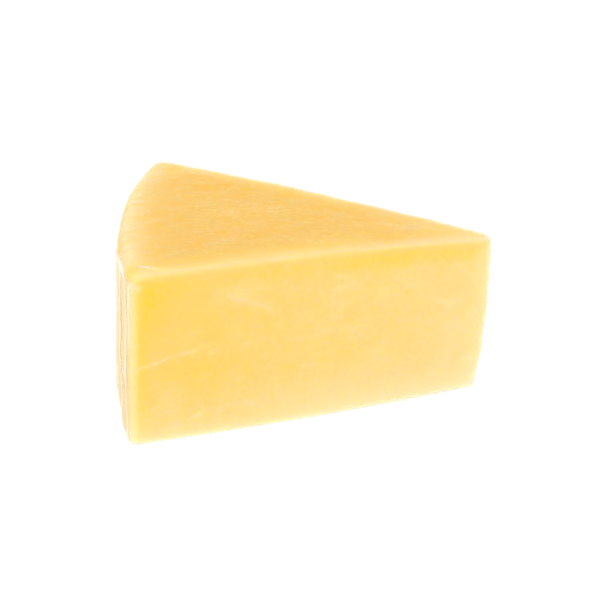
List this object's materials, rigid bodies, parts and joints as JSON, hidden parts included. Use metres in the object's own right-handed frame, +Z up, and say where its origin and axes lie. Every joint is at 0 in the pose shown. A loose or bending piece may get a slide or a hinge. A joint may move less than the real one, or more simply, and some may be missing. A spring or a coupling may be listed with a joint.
{
  "type": "wrapped hard cheese wedge",
  "caption": "Wedge of pale yellow hard cheese cut from a wheel, wrapped tight in clear film and resting flat with its tip to +X",
  "frame": {"origin": "on the flat resting face, in the middle of the bounding box seen from above", "axes": "+Z is up; +X points from the rind to the tip, along the middle of the wedge; one cut face looks to -Y and the other to +Y"},
  "size_m": [0.1048, 0.0868, 0.0509],
  "materials": {
    "cheese": "pale yellow cheese under tight glossy clear film"
  },
  "bodies": {
    "root": {"cheese_wedge": "cheese"}
  },
  "joints": []
}
